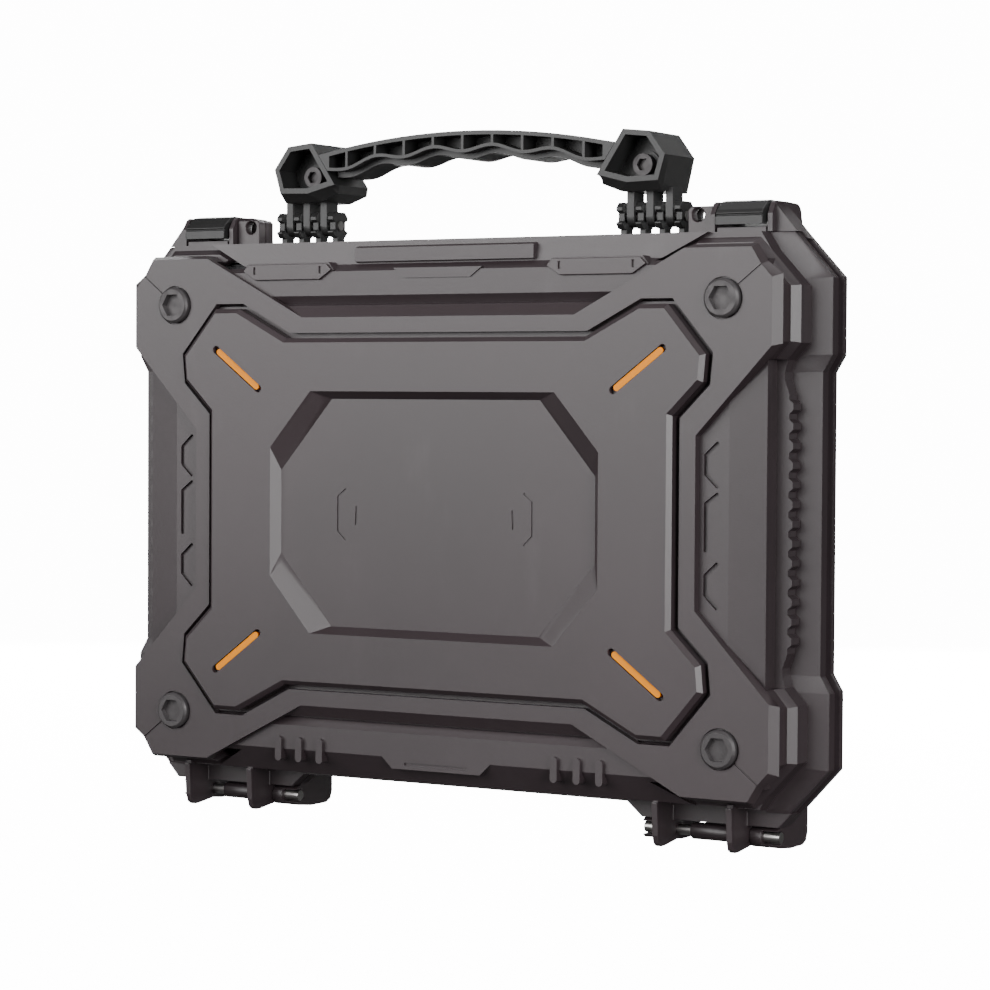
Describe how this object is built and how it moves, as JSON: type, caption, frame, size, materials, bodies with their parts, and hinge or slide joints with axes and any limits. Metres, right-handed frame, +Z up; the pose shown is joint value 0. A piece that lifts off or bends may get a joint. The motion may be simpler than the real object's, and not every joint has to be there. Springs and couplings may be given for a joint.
{
  "type": "waterproof tool case",
  "caption": "Hard waterproof tool case with a hinged armoured lid, folding arched handle, two flip latches, padlock tabs, rim gasket and foam lining.",
  "frame": {"origin": "centre of the footprint on the surface the case stands on, under its hinge side", "axes": "+X to the right as seen from the lid, +Y from the lid to the back of the base, +Z up towards the handle"},
  "size_m": [0.3324, 0.08, 0.2849],
  "materials": {
    "case_plastic": "fine moulded texture",
    "armour_plastic": "satin moulded",
    "handle_plastic": "satin moulded",
    "accent_orange": "satin",
    "black_screw": "black satin",
    "pin_steel": "brushed",
    "insert_brass": "machined",
    "gasket_rubber": "matte",
    "foam": "open cell foam"
  },
  "bodies": {
    "base": {"base_shell": "case_plastic", "base_foam": "foam", "base_hinge_left": "case_plastic", "base_hinge_right": "case_plastic", "hinge_pin_left": "pin_steel", "hinge_pin_right": "pin_steel", "latch_pin_left": "pin_steel", "latch_pin_right": "pin_steel", "handle_bracket_left": "handle_plastic", "handle_bracket_right": "handle_plastic", "handle_pin_left": "pin_steel", "handle_pin_right": "pin_steel"},
    "lid": {"lid_shell": "case_plastic", "lid_hinge_left": "case_plastic", "lid_hinge_right": "case_plastic", "armour_frame": "armour_plastic", "centre_panel": "armour_plastic", "accent_upper_left": "accent_orange", "accent_upper_right": "accent_orange", "accent_lower_left": "accent_orange", "accent_lower_right": "accent_orange", "armour_screws": "black_screw", "screw_inserts": "insert_brass", "trim_plate_left": "armour_plastic", "trim_plate_right": "armour_plastic", "latch_keeper_left": "case_plastic", "latch_keeper_right": "case_plastic", "padlock_tab_left": "case_plastic", "padlock_tab_right": "case_plastic", "lid_gasket": "gasket_rubber", "lid_foam": "foam"},
    "handle": {"handle_grip": "handle_plastic", "handle_knuckle_left": "handle_plastic", "handle_knuckle_right": "handle_plastic", "handle_bolts": "black_screw", "handle_nuts": "pin_steel"},
    "latch_left": {"latch_left": "handle_plastic"},
    "latch_right": {"latch_right": "handle_plastic"}
  },
  "joints": [
    {"name": "lid_hinge", "type": "hinge", "parent": "base", "child": "lid", "pos_m": [0, -0.0084, 0.0052], "axis": [1, 0, 0], "range_deg": [0, 105]},
    {"name": "handle_hinge", "type": "hinge", "parent": "base", "child": "handle", "pos_m": [0, -0.0029, 0.2483], "axis": [1, 0, 0], "range_deg": [-57, 57]},
    {"name": "latch_left_hinge", "type": "hinge", "parent": "base", "child": "latch_left", "pos_m": [-0.1276, 0.004, 0.2474], "axis": [-1, 0, 0], "range_deg": [0, 110]},
    {"name": "latch_right_hinge", "type": "hinge", "parent": "base", "child": "latch_right", "pos_m": [0.1276, 0.004, 0.2474], "axis": [-1, 0, 0], "range_deg": [0, 110]}
  ]
}
